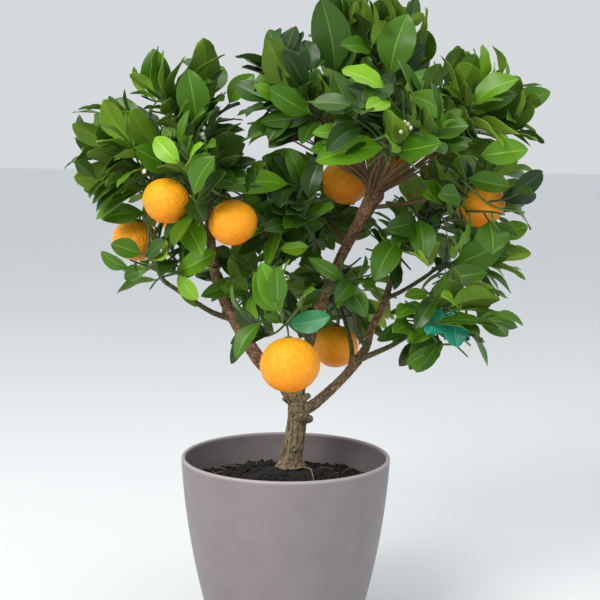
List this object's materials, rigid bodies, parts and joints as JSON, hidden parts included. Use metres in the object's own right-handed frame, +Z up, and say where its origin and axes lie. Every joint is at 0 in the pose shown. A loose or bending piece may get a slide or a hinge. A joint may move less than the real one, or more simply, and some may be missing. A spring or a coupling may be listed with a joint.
{
  "type": "potted clementine tree",
  "caption": "Small fruit tree with a forked trunk, glossy green leaves and orange fruit, standing in a plain tapered round pot.",
  "frame": {"origin": "centre of the pot's flat underside", "axes": "+Z up the tree, -Y towards the viewer of the picture, +X to the viewer's right"},
  "size_m": [0.4834, 0.3297, 0.6845],
  "materials": {
    "pot": "satin grey plastic",
    "soil": "rough dark soil",
    "bark": "fissured bark",
    "foliage": "glossy leaves"
  },
  "bodies": {
    "root": {"pot": "pot", "soil": "soil", "trunk": "bark", "bough_left": "bark", "bough_centre": "bark", "bough_right": "bark", "branch_left_low": "bark", "branch_left_inner": "bark", "branch_right_low": "bark", "branch_right_mid": "bark", "branch_inner": "bark", "branch_mid": "bark", "branch_front": "bark", "branch_back_low": "bark", "branch_back": "bark", "foliage_left_outer": "foliage", "foliage_left_top": "foliage", "foliage_left_front": "foliage", "foliage_left_back": "foliage", "foliage_left_low": "foliage", "foliage_left_inner": "foliage", "foliage_mid": "foliage", "foliage_inner": "foliage", "foliage_crown_left": "foliage", "foliage_crown_top": "foliage", "foliage_crown_front": "foliage", "foliage_crown_right": "foliage", "foliage_crown_back": "foliage", "foliage_right_side": "foliage", "foliage_right_back": "foliage", "foliage_right_inner": "foliage", "foliage_right_mid": "foliage", "foliage_right_low": "foliage", "foliage_back_mid": "foliage", "foliage_back_low": "foliage", "foliage_front_fruit": "foliage"}
  },
  "joints": []
}
